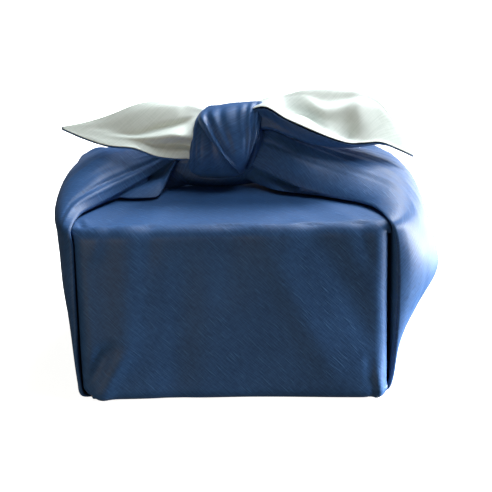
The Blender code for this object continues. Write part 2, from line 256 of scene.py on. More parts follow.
def silkMaterial(name, silk):
    made, tree, shader = newMaterial(name)
    place = addNode(tree, "ShaderNodeTexCoord")
    turned = addNode(tree, "ShaderNodeMapping", {"Rotation": (0, 0, math.radians(weave["degrees"]))},
                     {"Vector": place.outputs["UV"]})
    # each pattern's size along the weft and across it, its detail and its roughness
    patterns = {
        "weft": (silk["threadRun"], silk["threadGap"], 2.0, 0.6),
        "warp": (silk["threadGap"], silk["threadRun"], 1.0, 0.5),
        "slub": (silk["slubRun"], silk["slubGap"], 1.0, 0.5),
        "cloud": (silk["cloudSize"], silk["cloudSize"], 2.0, 0.5),
    }
    drawn = {}
    for key, (run, gap, detail, roughness) in patterns.items():
        sized = addNode(tree, "ShaderNodeMapping", {"Scale": (1 / run, 1 / gap, 1)},
                        {"Vector": turned.outputs["Vector"]})
        noise = addNode(tree, "ShaderNodeTexNoise", {"Scale": 1.0, "Detail": detail, "Roughness": roughness},
                        {"Vector": sized.outputs["Vector"]})
        drawn[key] = noise.outputs["Fac"]
    threads = addNode(tree, "ShaderNodeMath", {"operation": "MULTIPLY_ADD", 1: weave["warpShare"]},
                      {0: drawn["warp"], 2: drawn["weft"]})
    depth = addNode(tree, "ShaderNodeMath", {"operation": "MULTIPLY_ADD", 1: weave["cloudShare"]},
                    {0: drawn["cloud"], 2: threads.outputs["Value"]})
    tone = addNode(tree, "ShaderNodeMapRange", {"From Min": weave["toneLow"], "From Max": weave["toneHigh"]},
                   {"Value": depth.outputs["Value"]})
    base = addNode(tree, "ShaderNodeMix",
                   {"data_type": "RGBA", 6: hexToLinear(silk["deep"]), 7: hexToLinear(silk["face"])},
                   {"Factor": tone.outputs["Result"]})
    slubs = addNode(tree, "ShaderNodeMapRange", {"From Min": weave["slubLow"], "From Max": weave["slubHigh"]},
                    {"Value": drawn["slub"]})
    slubShare = addNode(tree, "ShaderNodeMath", {"operation": "MULTIPLY", 1: weave["slubTint"]},
                        {0: slubs.outputs["Result"]})
    withSlubs = addNode(tree, "ShaderNodeMix", {"data_type": "RGBA", 7: hexToLinear(silk["slub"])},
                        {"Factor": slubShare.outputs["Value"], 6: base.outputs[2]})
    height = addNode(tree, "ShaderNodeMath", {"operation": "MULTIPLY_ADD", 1: weave["slubHeight"]},
                     {0: slubs.outputs["Result"], 2: threads.outputs["Value"]})
    relief = addNode(tree, "ShaderNodeBump", {"Strength": weave["bump"], "Distance": silk["relief"]},
                     {"Height": height.outputs["Value"]})
    gloss = addNode(tree, "ShaderNodeMapRange", {
        "From Min": weave["glossLow"], "From Max": weave["glossHigh"],
        "To Min": silk["roughness"] - weave["smoother"], "To Max": silk["roughness"] + weave["rougher"],
    }, {"Value": drawn["weft"]})
    tree.links.new(withSlubs.outputs[2], shader.inputs["Base Color"])
    tree.links.new(gloss.outputs["Result"], shader.inputs["Roughness"])
    tree.links.new(relief.outputs["Normal"], shader.inputs["Normal"])
    shader.inputs["Specular IOR Level"].default_value = silk["specular"]
    shader.inputs["Sheen Weight"].default_value = silk["sheenWeight"]
    shader.inputs["Sheen Roughness"].default_value = silk["sheenRoughness"]
    shader.inputs["Sheen Tint"].default_value = hexToLinear(silk["sheenTint"])
    return made


# Solid board pressed from pulp: matt, with fine fibres that mottle it
cardBoard = {
    "dark": "#A58A68", "pale": "#BCA17E", "fibres": 420.0, "detail": 3.0, "bump": 0.3,
    "relief": 0.1 * mm, "roughness": 0.85,
}


def cardMaterial():
    made, tree, shader = newMaterial("wrapped card box board")
    place = addNode(tree, "ShaderNodeTexCoord")
    fibres = addNode(tree, "ShaderNodeTexNoise",
                     {"Scale": cardBoard["fibres"], "Detail": cardBoard["detail"]},
                     {"Vector": place.outputs["Object"]})
    tone = addNode(tree, "ShaderNodeValToRGB", links={"Fac": fibres.outputs["Fac"]})
    rampColours(tone, [(0.35, hexToLinear(cardBoard["dark"])), (0.65, hexToLinear(cardBoard["pale"]))])
    relief = addNode(tree, "ShaderNodeBump", {"Strength": cardBoard["bump"], "Distance": cardBoard["relief"]},
                     {"Height": fibres.outputs["Fac"]})
    tree.links.new(tone.outputs["Color"], shader.inputs["Base Color"])
    tree.links.new(relief.outputs["Normal"], shader.inputs["Normal"])
    shader.inputs["Roughness"].default_value = cardBoard["roughness"]
    return made


cloths = {
    "blue_cloth": silkMaterial("blue slubbed silk taffeta", blueSilk),
    "pale_lining": silkMaterial("pale mint slubbed silk", paleSilk),
}
say("materials made")

# Band: under the lid's top layer, down the back, under the box, up the front and over the lid

band = {
    "width": 220 * mm, "depth": 200 * mm, "height": 134 * mm, "thickness": 1.2 * mm, "edgeRadius": 9 * mm,
    "underLayer": 130.2 * mm, "backReach": 45 * mm, "topShort": 13 * mm,
    # the top layer settles this far onto the under layer, between two places on the lid
    "settle": 1.9 * mm, "settleFrom": -40 * mm, "settleOver": 100 * mm,
    "wrap": 13 * mm, "wrapLeast": 1.5 * mm, "wrapTaper": 22 * mm, "wrapSteps": 4,
    "cornerSteps": 8, "arcSteps": 10, "acrossSteps": 60, "step": 3.2 * mm, "flat": ((0.25, 0.83), None),
    # the front's lower corners, left and right, and how far in and under the box they are drawn
    "footRound": {-1: 10 * mm, 1: 8 * mm}, "drawnIn": 26 * mm, "drawnUnder": 30 * mm,
    # the front's foot stands forward at its right end
    "footFlare": 5 * mm, "flareUp": 90 * mm, "flareFrom": 40 * mm, "flareOver": 50 * mm,
    "backRipple": 0.5 * mm, "rippleAcross": 55, "rippleUp": 21,
    # how far a stretch has to face a side to take that side's folds
    "facing": 0.3, "backFacing": 0.5, "underFacing": 0.05,
}
# on the front face: along is the height and across is x, both in mm
frontFolds = [
    Fold(-10, 52, -116, -86, 6.0, -3.0),
    Fold(-10, 48, -104, -75, 6.5, 1.4),
    Fold(10, 170, -82, -72, 11, 1.6, 3),
    Fold(-20, 135, -46, -28, 13, -1.2),
    Fold(10, 165, 112, 40, 13, -1.5, 4),
    Fold(0, 160, 82, 14, 12, 1.1, -4),
    Fold(-12, 42, 103, 96, 3.0, -1.2),
    Fold(-14, 28, 110, 101, 2.6, 1.2),
    Fold(60, 170, -6, 4, 14, -0.9),
    Fold(104, 165, -98, -84, 5, 1.2),
    Fold(96, 165, 98, 86, 5, -1.1),
    Fold(104, 165, 40, 46, 7, 0.7),
    Fold(96, 165, -60, -50, 6, -0.7),
]
# on the lid: along is how far back from the front edge, across is x, in mm
lidFolds = [
    Fold(-12, 90, -70, -26, 9, 0.7),
    Fold(-12, 90, 78, 24, 9, -0.7),
    Fold(-10, 60, 98, 60, 5, 0.7),
    Fold(-10, 60, -96, -62, 5, -0.6),
    Fold(-12, 26, -94, -104, 1.6, 0.9),
    Fold(-12, 24, -98, -108, 2.0, -0.8),
    Fold(-14, 30, 30, 44, 12, -0.6),
    Fold(100, 185, 20, 70, 8, 0.5),
    Fold(100, 185, -20, -66, 9, 0.5),
]


def bandPath():
    # y, z and the way that the band faces, from the under layer on the lid round to the top layer
    half = band["thickness"] / 2
    deep, lid = band["depth"] / 2 - half, band["height"] - half
    under, r = band["underLayer"], band["edgeRadius"]

    def straight(start, end, way):
        count = max(2, round((Vector(end) - Vector(start)).length / band["step"]))
        shares = [k / count for k in range(count)]
        return [(lerp(start[0], end[0], share), lerp(start[1], end[1], share), *way) for share in shares]

    def arc(middle, startDegrees):
        out = []
        for k in range(band["arcSteps"]):
            angle = math.radians(startDegrees - 90 * k / band["arcSteps"])
            way = (math.cos(angle), math.sin(angle))
            out.append((middle[0] + r * way[0], middle[1] + r * way[1], *way))
        return out

    path = straight((-deep + band["backReach"], under), (deep - r, under), (0.0, 1.0))
    path += arc((deep - r, under - r), 90)
    path += straight((deep, under - r), (deep, half + r), (1.0, 0.0))
    path += arc((deep - r, half + r), 0)
    path += straight((deep - r, half), (-deep + r, half), (0.0, -1.0))
    path += arc((-deep + r, half + r), 270)
    path += straight((-deep, half + r), (-deep, lid - r), (-1.0, 0.0))
    path += arc((-deep + r, lid - r), 180)
    end = deep - band["topShort"]
    path += straight((-deep + r, lid), (end, lid), (0.0, 1.0))
    path.append((end, lid, 0.0, 1.0))
    return path


def footInset(y, z, faceY, radius):
    # the lower front corners are drawn in round, and the cloth under the box follows them
    if y > 0:
        return 0.0
    short = max(0.0, radius - z)
    inset = radius - math.sqrt(radius * radius - short * short)
    if faceY > -band["underFacing"]:
        inset *= 1 - smoothStep((y + band["depth"] / 2 - band["edgeRadius"]) / band["drawnUnder"])
    return inset


def bandHalf(z, upright):
    # half a section, from its middle outwards: x, how far back round the corner, and the length run
    r = band["edgeRadius"]
    wide = band["width"] / 2 - band["thickness"] / 2 - r
    wrapShare = upright * smoothStep(min(z, band["height"] - z) / band["wrapTaper"])
    wrap = lerp(band["wrapLeast"], band["wrap"], wrapShare)
    turn = max(upright, 0.001) * math.pi / 2
    length = lerp(r - band["wrapLeast"], r * math.pi / 2, upright)
    side = [wide * k / band["acrossSteps"] * 2 for k in range(band["acrossSteps"] // 2 + 1)]
    places = [(x, 0.0, x) for x in side]
    for k in range(1, band["cornerSteps"] + 1):
        share = k / band["cornerSteps"]
        places.append((wide + length / turn * math.sin(turn * share),
                       length / turn * (1 - math.cos(turn * share)), wide + length * share))
    x, back, across = places[-1]
    for k in range(1, band["wrapSteps"] + 1):
        run = wrap * k / band["wrapSteps"]
        places.append((x + run * math.cos(turn), back + run * math.sin(turn), across + run))
    return places


def bandLift(y, z, faceY, faceZ, across, onTop):
    # how far the cloth stands off its plain shape: folds in front and on the lid, a ripple at the back
    if faceY < -band["facing"]:
        return foldHeight(frontFolds, z / mm, across / mm, 1.0)
    if faceZ > band["facing"] and onTop:
        return foldHeight(lidFolds, (y + band["depth"] / 2) / mm, across / mm, 1.0)
    if faceY > band["backFacing"]:
        ripple = math.sin(across * band["rippleAcross"] + z * band["rippleUp"])
        return band["backRipple"] * ripple * math.sin(z * math.pi / band["height"])
    return 0.0


def makeBand():
    half = band["thickness"] / 2
    wide = band["width"] / 2 - half
    path = bandPath()
    runs = [0.0]
    for a, b in zip(path, path[1:]):
        runs.append(runs[-1] + math.hypot(b[0] - a[0], b[1] - a[1]))
    underMiddle = next(run for run, p in zip(runs, path) if p[3] == -1.0 and p[0] <= 0)
    topStart = max(i for i, p in enumerate(path) if p[3] != 1.0)
    rows, flat = [], []
    for i, ((y, z, faceY, faceZ), run) in enumerate(zip(path, runs)):
        places = bandHalf(z, faceY**2)
        settle = 0.0
        if i > topStart:
            settle = band["settle"] * smoothStep((y - band["settleFrom"]) / band["settleOver"])
        row, line = [], []
        for sign, some in ((-1, places[:0:-1]), (1, places)):
            drawn = footInset(y, z, faceY, band["footRound"][sign])
            for x, back, across in some:
                x -= drawn * smoothStep((x - wide + band["drawnIn"]) / band["drawnIn"])
                point = Vector((sign * x, y - faceY * back, z - faceZ * back - settle))
                lift = bandLift(y, z, faceY, faceZ, sign * across, i > topStart - band["arcSteps"])
                point += Vector((0, faceY, faceZ)) * lift
                flare = smoothStep(point.x / wide) * smoothStep(1 - point.z / band["flareUp"])
                inFront = smoothStep((-point.y - band["flareFrom"]) / band["flareOver"])
                point.y -= band["footFlare"] * flare * inFront
                point.z = max(point.z, half)
                row.append(point)
                line.append((sign * across, underMiddle - run))
        rows.append(row)
        flat.append(line)
    piece = gridPiece("bandCloth", rows, flat)
    return finishSheet(piece, band["thickness"], "blue_cloth")


bandCloth = makeBand()
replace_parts(bandCloth, "wrap_cloth")
declareSheet(bandCloth)
say("band folded")

# Side flaps. Each row is a section from the foot up the side and over the lid to the knot: the edge
# is the fold at the front and, mirrored, at the back, and the crest is the middle of the bulge. The
# higher full is, the squarer is the bulge. tuck is the share of the box's side that the tuck covers
# from each fold, and lobe is how many mm the back swells out.

FlapRow = namedtuple("FlapRow", "edgeX edgeY edgeZ crestX crestY crestZ full tuck lobe", defaults=(0, 0))
flapShape = {
    "thickness": 0.8 * mm, "along": 8, "across": 84,
    # where a section is fullest, and where its back swells out
    "skew": 0.85, "lobeAt": 0.88, "lobeSpread": 0.09, "lobeTilt": 0.3,
    # the rounded fold, the strip turned back behind it, and where the flap starts beside it
    "curl": 1.2 * mm, "curlSteps": 7, "turnBack": 3.0 * mm, "probe": 0.03, "startShare": 0.02,
    "insideX": 100 * mm, "insideZ": 130 * mm, "foldFade": 0.04,
    "tuckAcross": 12, "tuckClear": 1.7 * mm, "tuckEase": 1.3, "tuckJoin": 0.35,
    # the length of cloth from the middle of the square to each piece, for its threads
    "flapRun": 98 * mm, "tuckRun": 115 * mm, "pleatRun": 250 * mm,
    "tuckFlat": ((0.08, 0.22), 0.012), "pleatFlat": ((0.025, 0.10), 0.0013),
}
# across the second fold: a strip in behind its upper line, a swell, and a lip and a strip at its lower line
pleatShape = {
    "out": (0.2, -0.7, 0.7), "swell": 0.06, "inner": (0, 6, 8), "innerMost": 0.08,
    "lip": (0, 0.5, 0.6), "under": (1.5, 4, 0.4), "across": 4,
}
rightFlap = {
    "side": 1, "flat": ((0.22, 0.34), 0.052),
    "rows": [
        FlapRow(98, 88, 1.8, 98, 0, 1.8, 2.0),
        FlapRow(106, 90, 1.8, 106, 0, 1.8, 2.0),
        FlapRow(112, 94, 5, 112.5, -14, 5, 2.2),
        FlapRow(115, 95, 16, 116, -18, 16, 2.6, 0.28),
        FlapRow(116.5, 95.5, 36, 122, -20, 38, 2.3, 0.40),
        FlapRow(117.5, 95.5, 58, 138, -18, 60, 2.0, 0.40),
        FlapRow(118, 95.5, 80, 152, -16, 81, 1.95, 0.40),
        FlapRow(117.5, 95.5, 102, 149.5, -16, 100, 2.2, 0.40),
        FlapRow(116, 96, 121, 144, -10, 119, 2.3, 0.40),
        FlapRow(112, 97, 134, 138, 0, 134, 2.2, 0.38),
        FlapRow(105.5, 77, 137.2, 125, 2, 146.5, 2.2, 0.34),
        FlapRow(94, 61, 137.4, 106, 3, 154, 2.0, 0.30),
        FlapRow(72, 47, 137.6, 80, 3, 161, 2.2, 0.26),
        FlapRow(49, 37, 142, 54, 2, 170, 2.3, 0.20),
        FlapRow(28, 21, 147.2, 31, 2, 178, 2.4),
        FlapRow(11, 8, 152, 14, 1, 176, 2.0),
    ],
    # the second fold, beside the knot: points of its upper line, in the first fold, and of its lower line
    "pleat": [
        ((8, -2, 147), (10, -5, 139.5)), ((15, -5, 146.5), (15, -10.5, 138.6)),
        ((23, -11, 145.5), (24, -19, 137.2)), ((32, -18, 143.5), (33, -28, 136.8)),
        ((42, -26, 141), (43, -33, 136.6)), ((52, -33, 139.5), (53, -36.5, 136.6)),
        ((66, -40, 138.2), (66, -43, 136.6)), ((88, -53, 137.6), (88, -56, 136.6)),
    ],
    # along is the row above, across is the share of the section from the front fold to the back fold
    "folds": [
        Fold(8.4, 12.6, 0.10, 0.16, 1.7, -0.35), Fold(8.0, 13.0, 0.14, 0.21, 1.9, 0.40),
        Fold(8.6, 12.8, 0.19, 0.27, 1.7, -0.40), Fold(7.8, 13.4, 0.24, 0.33, 2.0, 0.45),
        Fold(8.4, 13.0, 0.30, 0.39, 1.8, -0.40), Fold(7.6, 14.0, 0.37, 0.46, 2.2, 0.45),
        Fold(8.8, 15.2, 0.45, 0.53, 2.0, -0.5), Fold(8.0, 15.2, 0.55, 0.62, 2.4, 0.5),
        Fold(8.6, 15.2, 0.66, 0.72, 2.2, -0.5), Fold(8.2, 15.2, 0.78, 0.82, 2.4, 0.5),
        Fold(11.4, 15.4, 0.10, 0.14, 1.6, -0.8), Fold(11.2, 15.4, 0.22, 0.27, 1.8, 0.7),
        Fold(11.6, 15.4, 0.34, 0.38, 1.6, -0.7),
        Fold(2.2, 9.0, 0.22, 0.30, 12, 0.7, 0.03), Fold(2.4, 8.6, 0.50, 0.44, 14, -0.7),
        Fold(2.0, 8.0, 0.80, 0.70, 11, 0.7), Fold(3.0, 7.4, 0.10, 0.13, 5, -0.4),
    ],
}
leftFlap = {
    "side": -1, "flat": ((0.20, 0.33), 0.048),
    "rows": [
        FlapRow(98, 88, 1.8, 98, 0, 1.8, 2.0),
        FlapRow(106, 90, 1.8, 106, 0, 1.8, 2.0),
        FlapRow(111.8, 94, 5, 113, -20, 5, 2.0),
        FlapRow(112.6, 95, 16, 115.5, -24, 16, 2.2, 0.28),
        FlapRow(113, 96, 38, 117.8, -22, 38, 2.4, 0.40),
        FlapRow(111.8, 97.4, 60, 120.6, -20, 60, 2.4, 0.40),
        FlapRow(111.1, 97.9, 82, 123.6, -20, 84, 2.5, 0.40),
        FlapRow(110.9, 98.2, 104, 124.8, -18, 105, 2.4, 0.40, 1),
        FlapRow(110.9, 98.2, 121, 126.6, -16, 121, 2.2, 0.40, 2),
        FlapRow(112, 97, 133, 127.6, -14, 135, 2.0, 0.38, 3),
        FlapRow(107.5, 76, 137.4, 119, -6, 149, 1.8, 0.34, 3),
        FlapRow(97, 59, 138.2, 98.5, 1, 161, 1.6, 0.30, 7),
        FlapRow(79, 37, 141, 80, 3, 163.5, 1.6, 0.26, 5),
        FlapRow(60, 21, 147.4, 61, 3, 163.5, 1.7, 0.20),
        FlapRow(41, 9, 155.5, 41, 2, 167, 2.0),
        FlapRow(20, 8, 157, 21, 1, 168, 2.0),
    ],
    "pleat": [
        ((-88, -43, 138.0), (-86, -42, 136.6)), ((-80, -31, 138.5), (-81.7, -37.5, 136.6)),
        ((-71, -24, 141), (-73.5, -39, 136.4)), ((-62, -14, 143.5), (-62.6, -38.6, 136.4)),
        ((-54, -9, 146.5), (-54.5, -36.2, 136.4)), ((-50, -7, 148.5), (-51, -30, 139)),
        ((-46, -5, 151), (-46.5, -20.5, 146)), ((-41, -3, 155), (-40.5, -10.5, 154.5)),
    ],
    "folds": [
        Fold(8.4, 15.2, 0.030, 0.045, 2.4, 1.5), Fold(8.8, 15.2, 0.075, 0.105, 2.6, -1.3),
        Fold(9.6, 14.6, 0.16, 0.24, 3.4, -0.5, 0.01), Fold(9.0, 15.2, 0.30, 0.38, 4.0, 0.5),
        Fold(10.4, 15.2, 0.44, 0.52, 3.0, -0.6), Fold(9.6, 15.2, 0.56, 0.64, 3.4, 0.5),
        Fold(9.0, 15.2, 0.70, 0.76, 3.0, -0.5), Fold(12.0, 15.4, 0.20, 0.26, 1.8, 0.7),
        Fold(2.4, 8.4, 0.30, 0.26, 10, 0.5), Fold(2.2, 8.0, 0.62, 0.55, 12, -0.6),
    ],
}


def bulge(share, full):
    return 1 - abs(2 * share**flapShape["skew"] - 1) ** full


def flapPoint(row, share, side):
    front = Vector((side * row.edgeX, -row.edgeY, row.edgeZ)) * mm
    back = Vector((side * row.edgeX, row.edgeY, row.edgeZ)) * mm
    crest = Vector((side * row.crestX, row.crestY, row.crestZ)) * mm
    onLid = row.edgeZ * mm > band["height"]
    outward = Vector((side, 0, 1 if onLid else flapShape["lobeTilt"])).normalized()
    lobe = row.lobe * mm * math.exp(-(((share - flapShape["lobeAt"]) / flapShape["lobeSpread"]) ** 2))
    return front.lerp(back, share) + (crest - (front + back) / 2) * bulge(share, row.full) + outward * lobe


def tuckPoint(row, share, side, fromBack):
    # a point of the gusset that turns back from a fold and lies close on the box
    x = side * min(row.edgeX * mm, band["width"] / 2 + flapShape["tuckClear"])
    z = min(row.edgeZ * mm, band["height"] + flapShape["tuckClear"])
    y = -row.edgeY * mm * (1 - 2 * row.tuck * share ** flapShape["tuckEase"])
    return Vector((x, -y if fromBack else y, z))


def foldEdge(row, side, fromBack):
    # the fold's place, the way from it into the flap, and the way to its inside
    probe = flapShape["probe"]
    share, step = (1.0, -probe) if fromBack else (0.0, probe)
    edge = flapPoint(row, share, side)
    into = (flapPoint(row, share + step, side) - edge).normalized()
    inBox = Vector((side * flapShape["insideX"], 0, min(row.edgeZ * mm, flapShape["insideZ"])))
    inside = inBox - edge
    inside = inside - into * inside.dot(into)
    if inside.length < 1e-4:
        inside = Vector((0, 0, 1))
    return edge, into, inside.normalized()


def curlPoints(row, side, fromBack):
    # the rounded fold, from the end of the turned-back strip to the flap
    edge, into, inside = foldEdge(row, side, fromBack)
    r = flapShape["curl"]
    middle = edge + into * r + inside * r
    out = [edge + into * (r + flapShape["turnBack"]) + inside * (2 * r)]
    for k in range(flapShape["curlSteps"] + 1):
        angle = math.pi * (1 - k / flapShape["curlSteps"])
        out.append(middle - inside * (r * math.cos(angle)) - into * (r * math.sin(angle)))
    return out


def makeFlap(name, flap):
    side = flap["side"]
    start = flapShape["startShare"]
    sections = []
    for row in flap["rows"]:
        section = curlPoints(row, side, False)
        for k in range(1, flapShape["across"]):
            section.append(flapPoint(row, lerp(start, 1 - start, k / flapShape["across"]), side))
        section += curlPoints(row, side, True)[::-1]
        sections.append(section)
    rows = lofted(sections, flapShape["along"])
    normals = gridNormals(rows)
    flat = flatRows(rows, flapShape["flapRun"], side)
    lead = flapShape["curlSteps"] + 1
    for i, row in enumerate(rows):
        width = sum((b - a).length for a, b in zip(row, row[1:])) / mm
        for j in range(len(row)):
            share = (j - lead) / flapShape["across"]
            if 0 < share < 1:
                hold = smoothStep(min(share, 1 - share) / flapShape["foldFade"])
                lift = foldHeight(flap["folds"], i / flapShape["along"], share, width)
                row[j] = row[j] - normals[i][j] * (side * lift * hold)
    piece = gridPiece(name, rows, flat)
    return finishSheet(piece, flapShape["thickness"], "blue_cloth")


def makeTuck(name, flap, fromBack):
    side = flap["side"]
    sections = []
    for row in flap["rows"]:
        if row.tuck:
            edge, into, inside = foldEdge(row, side, fromBack)
            root = edge + into * flapShape["curl"] + inside * (2 * flapShape["curl"])
            points = [root]
            for k in range(1, flapShape["tuckAcross"] + 1):
                share = k / flapShape["tuckAcross"]
                close = smoothStep(share / flapShape["tuckJoin"])
                points.append(root.lerp(tuckPoint(row, share, side, fromBack), close))
            sections.append(points)
    rows = lofted(sections, flapShape["along"])
    piece = gridPiece(name, rows, flatRows(rows, flapShape["tuckRun"], side))
    return finishSheet(piece, flapShape["thickness"], "blue_cloth")


def makePleat(name, flap):
    side = flap["side"]
    mirror = Vector((side, 1, 1))
    sections = []
    for top, low in flap["pleat"]:
        top, low = Vector(top) * mm, Vector(low) * mm
        tall = (top - low).length
        out = (Vector(pleatShape["out"]) * mirror).normalized()
        middle = (top + low) / 2 + out * (pleatShape["swell"] * tall)
        inner = top + Vector(pleatShape["inner"]) * min(mm, tall * pleatShape["innerMost"])
        lip = low + Vector(pleatShape["lip"]) * mm
        under = low + Vector(pleatShape["under"]) * Vector((-side, 1, 1)) * mm
        sections.append(spline([inner, top, middle, lip, low, under], pleatShape["across"]))
    rows = lofted(sections, flapShape["along"])
    piece = gridPiece(name, rows, flatRows(rows, flapShape["pleatRun"], side))
    return finishSheet(piece, flapShape["thickness"], "blue_cloth")


for title, flap in (("right", rightFlap), ("left", leftFlap)):
    pieces = [
        (makeFlap(f"{title}FlapCloth", flap), flap["flat"]),
        (makeTuck(f"{title}FrontTuck", flap, False), flapShape["tuckFlat"]),
        (makeTuck(f"{title}BackTuck", flap, True), flapShape["tuckFlat"]),
        (makePleat(f"{title}Pleat", flap), flapShape["pleatFlat"]),
    ]
    for piece, flat in pieces:
        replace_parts(piece, "wrap_cloth")
        declareSheet(piece)
say("flaps folded")

# Tails. Each section runs from the front or lower hem to the back or upper hem, in mm. The lining
# stands off the face cloth between the hems, as the two are sewn together only there.

tailShape = {
    "thickness": 0.5 * mm, "liningThickness": 0.4 * mm, "apart": 0.55 * mm,
    "inset": 0.8 * mm, "insetMost": 0.2, "along": 10, "across": 8, "tailRun": 400 * mm,
}
rightTail = {
    "facing": 1, "flat": ((0.10, 0.13), 0.009),
    "face": [
        [(8, -8, 188), (8, -8.5, 182), (8, -8, 176), (8, 0, 176), (8, 6, 182), (8, 9, 187), (8, 12, 182)],
        [(25, -19, 196), (26, -16, 189), (27, -17, 181), (27, -7, 179),
         (28, 3, 186), (28, 5.5, 195.8), (28, 12, 188)],
        [(41, -24.6, 188.4), (42, -23.5, 182), (42.5, -21, 175.8), (42.5, -6, 177),
         (43, 7, 185), (42, 10, 195.6), (44, 20, 186.8)],
        [(64, -28.8, 178.4), (64, -27.5, 173.5), (64, -23, 169), (66, -6, 172),
         (67, 8, 184), (68, 14.2, 199.4), (68, 27.2, 188)],
        [(88, -26.6, 169.6), (88, -25, 167.8), (88, -20, 166), (90, -6, 170),
         (92, 6, 182), (90, 13.6, 196.4), (94, 26.8, 184)],
        [(111, -16.4, 167), (111, -15, 165.9), (111, -11, 165.6), (112, -4, 171),
         (112, 4, 180), (112, 10.6, 187.6), (112, 18.8, 176)],
        [(125.5, -8.2, 159), (125.5, -7, 158.8), (125.5, -5, 159), (125.5, -2, 161.5),
         (125.5, 2, 166), (125, 6.3, 172.2), (125, 9, 165)],
        [(137, -4, 152.2), (137.2, -3.4, 152), (137.5, -2.7, 152), (137.6, -2, 152.2),
         (137.4, -1, 152.6), (137.2, -0.4, 152.8), (137, 0, 152.6)],
    ],
    "lining": [
        [(8, -8, 188.4), (8, -6, 189), (8, -3, 189.5), (8, 0, 190),
         (8, 3, 190.5), (8, 6, 190), (8, 9, 188), (8, 12, 183)],
        [(25, -18.5, 197), (26, -15, 197.8), (27, -10, 197), (27, -6, 196.6),
         (27, -3, 197), (27, 0, 197.2), (27, 4, 197), (28, 12, 189.4)],
        [(41, -24, 189.2), (41, -17, 191.4), (41, -9, 189.4), (41, -5, 190.5),
         (41, 0, 194), (41, 5, 197), (41, 9.5, 198), (44, 20.5, 189.4)],
        [(55, -27.6, 183.2), (55.5, -19, 186.8), (56, -9.5, 185.2), (56, -6, 187.6),
         (56, 0, 194), (56, 6, 198.5), (55, 12, 200.8), (56, 25, 191)],
        [(71, -28.4, 176.4), (71, -24, 178.2), (71, -19, 178), (71, -12.5, 183.5),
         (71, -6.5, 190.6), (71, 3, 194), (70, 14, 202), (70, 28, 191)],
        [(86, -26.6, 170.8), (86, -23.5, 171.4), (86, -18, 171.8), (86, -10, 180.5),
         (86, -2.5, 191.6), (86, 6, 194.6), (86, 14.4, 200), (90, 28, 188)],
        [(97, -22.6, 169.4), (97, -20.6, 171), (97.5, -17, 175.5), (98, -11, 183),
         (98, -1, 192.4), (98, 7, 195.4), (98, 14.2, 197.8), (100, 26, 184)],
        [(111, -16, 167.6), (111, -13.4, 169), (111.5, -9.5, 173), (112, -3.5, 179.5),
         (112, 2.5, 186), (112, 7, 189.2), (112, 11.2, 191), (112, 19.5, 180)],
        [(125.5, -8, 159.6), (125.5, -6.5, 161), (125.5, -4.5, 163.4), (125.5, -1.5, 166.8),
         (125.5, 1, 169.4), (125.5, 3.5, 171.6), (125, 6, 173.2), (125, 8.6, 166.4)],
        [(137, -4, 152.6), (137.2, -3.5, 152.7), (137.4, -3, 152.9), (137.5, -2.3, 153),
         (137.5, -1.6, 153.2), (137.4, -1, 153.4), (137.2, -0.6, 153.5), (137, 0, 153.2)],
    ],
}
